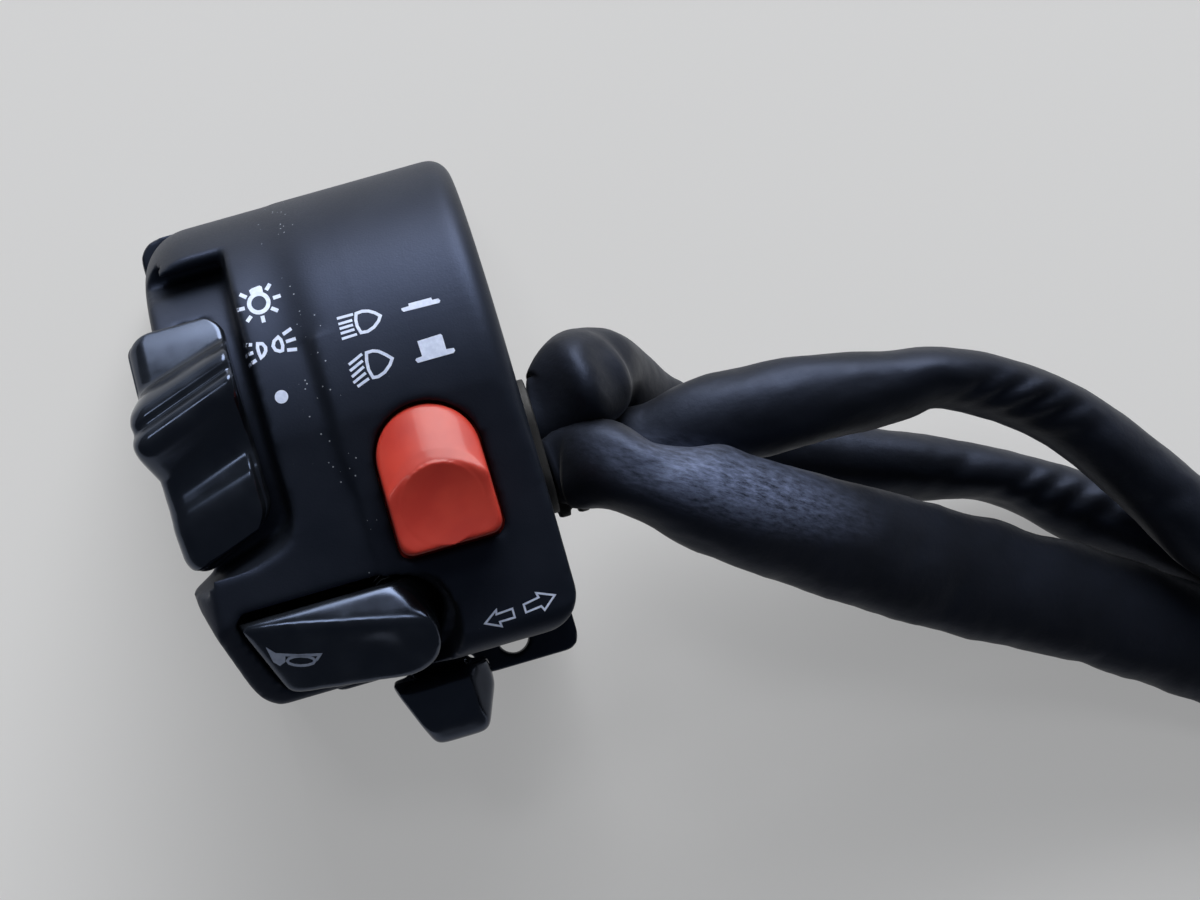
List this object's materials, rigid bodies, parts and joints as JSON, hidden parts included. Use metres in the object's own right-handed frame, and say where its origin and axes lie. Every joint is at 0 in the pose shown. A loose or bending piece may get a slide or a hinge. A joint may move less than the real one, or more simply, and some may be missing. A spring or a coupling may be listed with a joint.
{
  "type": "handlebar switch cluster",
  "caption": "Left-hand motorbike switch cluster: two-part casing clamped on the bar, with light slider, red dip button, horn paddle, turn lever and sleeved harness.",
  "frame": {"origin": "centre of the handlebar bore, half way along the casing", "axes": "+X along the bar towards the middle of the bike, where the harness leaves; +Y up when riding; +Z out of the switch face towards the rider. The part lies on the flat back of its front casing."},
  "size_m": [0.2969, 0.1288, 0.0552],
  "materials": {
    "casing_plastic": "fine satin moulded black",
    "gloss_black": "polished black",
    "red_plastic": "polished, slightly translucent red",
    "zinc_steel": "zinc plated",
    "spring_steel": "drawn wire",
    "brass": "bare",
    "phenolic": "brown laminate",
    "white_plastic": "natural nylon",
    "grommet_rubber": "moulded rubber",
    "sleeve_vinyl": "soft satin vinyl"
  },
  "bodies": {
    "casing": {"rear_casing": "casing_plastic", "front_casing": "casing_plastic", "clamp_screws": "zinc_steel", "module_plate": "zinc_steel", "module_screws": "brass", "light_base": "phenolic", "dip_switch_body": "phenolic", "dip_spring": "spring_steel", "horn_pivot_pin": "zinc_steel", "horn_base": "phenolic", "horn_leaf": "brass", "horn_spring": "spring_steel", "turn_pivot_pin": "zinc_steel", "turn_base": "phenolic", "harness_grommet": "grommet_rubber", "front_sleeve": "sleeve_vinyl", "upper_sleeve": "sleeve_vinyl", "rear_sleeve": "sleeve_vinyl", "front_connector": "white_plastic", "upper_connector": "white_plastic", "rear_connector": "white_plastic"},
    "light_switch": {"light_slider": "gloss_black", "light_carrier": "white_plastic", "light_contact": "brass", "light_detent_ball": "zinc_steel", "light_detent_spring": "spring_steel"},
    "dip_switch": {"dip_button": "red_plastic", "dip_plunger": "white_plastic"},
    "horn_switch": {"horn_paddle": "gloss_black"},
    "turn_switch": {"turn_lever": "gloss_black", "turn_bridge": "brass", "turn_detent_ball": "zinc_steel", "turn_detent_spring": "spring_steel"}
  },
  "joints": [
    {"name": "light_slide", "type": "hinge", "parent": "casing", "child": "light_switch", "pos_m": [0, 0, 0], "axis": [-1, 0, 0], "range_deg": [0, 22]},
    {"name": "dip_press", "type": "slide", "parent": "casing", "child": "dip_switch", "axis": [0, 0, -1], "range_m": [0, 0.0034], "stiffness_N_per_m": 400, "deforming": ["dip_spring"]},
    {"name": "horn_press", "type": "hinge", "parent": "casing", "child": "horn_switch", "pos_m": [-0.0167, -0.0236, 0.02083], "axis": [0, 0.8192, 0.5736], "range_deg": [0, 5.5], "stiffness_Nm_per_rad": 0.1, "deforming": ["horn_spring"]},
    {"name": "turn_swing", "type": "hinge", "parent": "casing", "child": "turn_switch", "pos_m": [0.002, -0.017, 0], "axis": [0, 0, 1], "range_deg": [-11, 11]}
  ]
}
